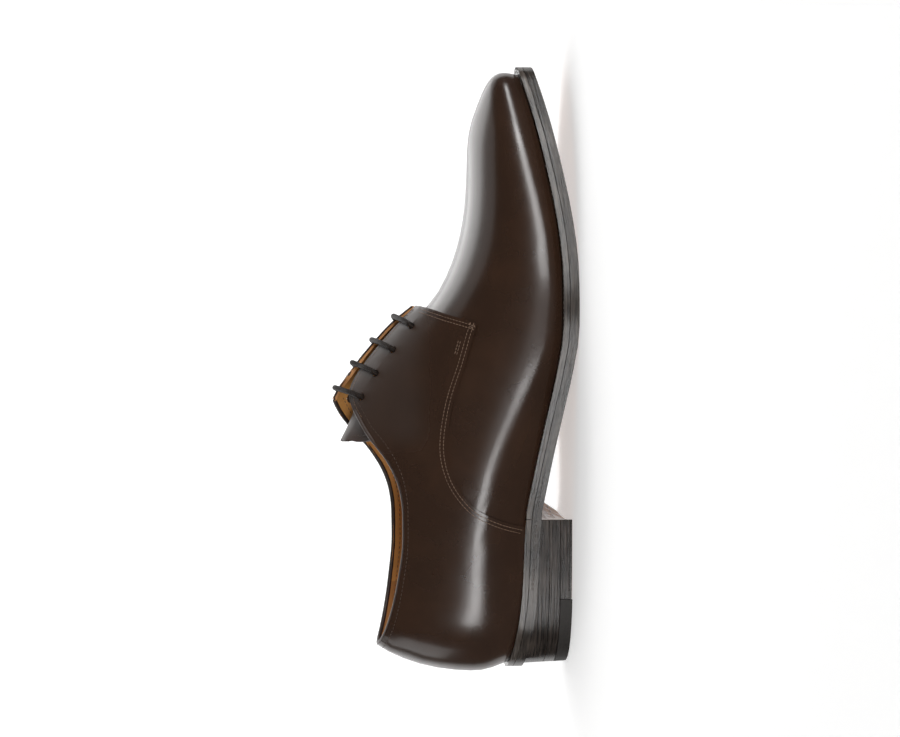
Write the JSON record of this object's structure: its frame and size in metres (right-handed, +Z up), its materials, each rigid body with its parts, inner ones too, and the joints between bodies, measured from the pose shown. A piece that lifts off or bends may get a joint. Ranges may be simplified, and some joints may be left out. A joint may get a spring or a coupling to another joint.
{
  "type": "derby shoe",
  "caption": "Plain-toe leather derby shoe for the right foot: laced facings over a tongue, low collar, welted sole and stacked heel.",
  "frame": {"origin": "on the floor, under the middle of the shoe's bounding box", "axes": "+Z up, +X from heel to toe, +Y towards the inner side of the foot, so the outer side faces -Y"},
  "size_m": [0.3032, 0.1024, 0.1153],
  "materials": {
    "calf": "smooth polished dark brown calf",
    "lining": "matt tan lining leather",
    "edge": "waxed dark brown sole edge",
    "rubber": "matt black rubber",
    "lace": "waxed round dark brown cotton lace"
  },
  "bodies": {
    "root": {"upper": "calf", "tongue": "calf", "insole": "lining", "welt": "edge", "heel_rand": "edge", "outsole": "edge", "heel_lift_1": "edge", "heel_lift_2": "edge", "top_lift": "edge", "heel_rubber": "rubber", "lace_bar_1": "lace", "lace_bar_2": "lace", "lace_bar_3": "lace", "lace_bar_4": "lace"}
  },
  "joints": []
}
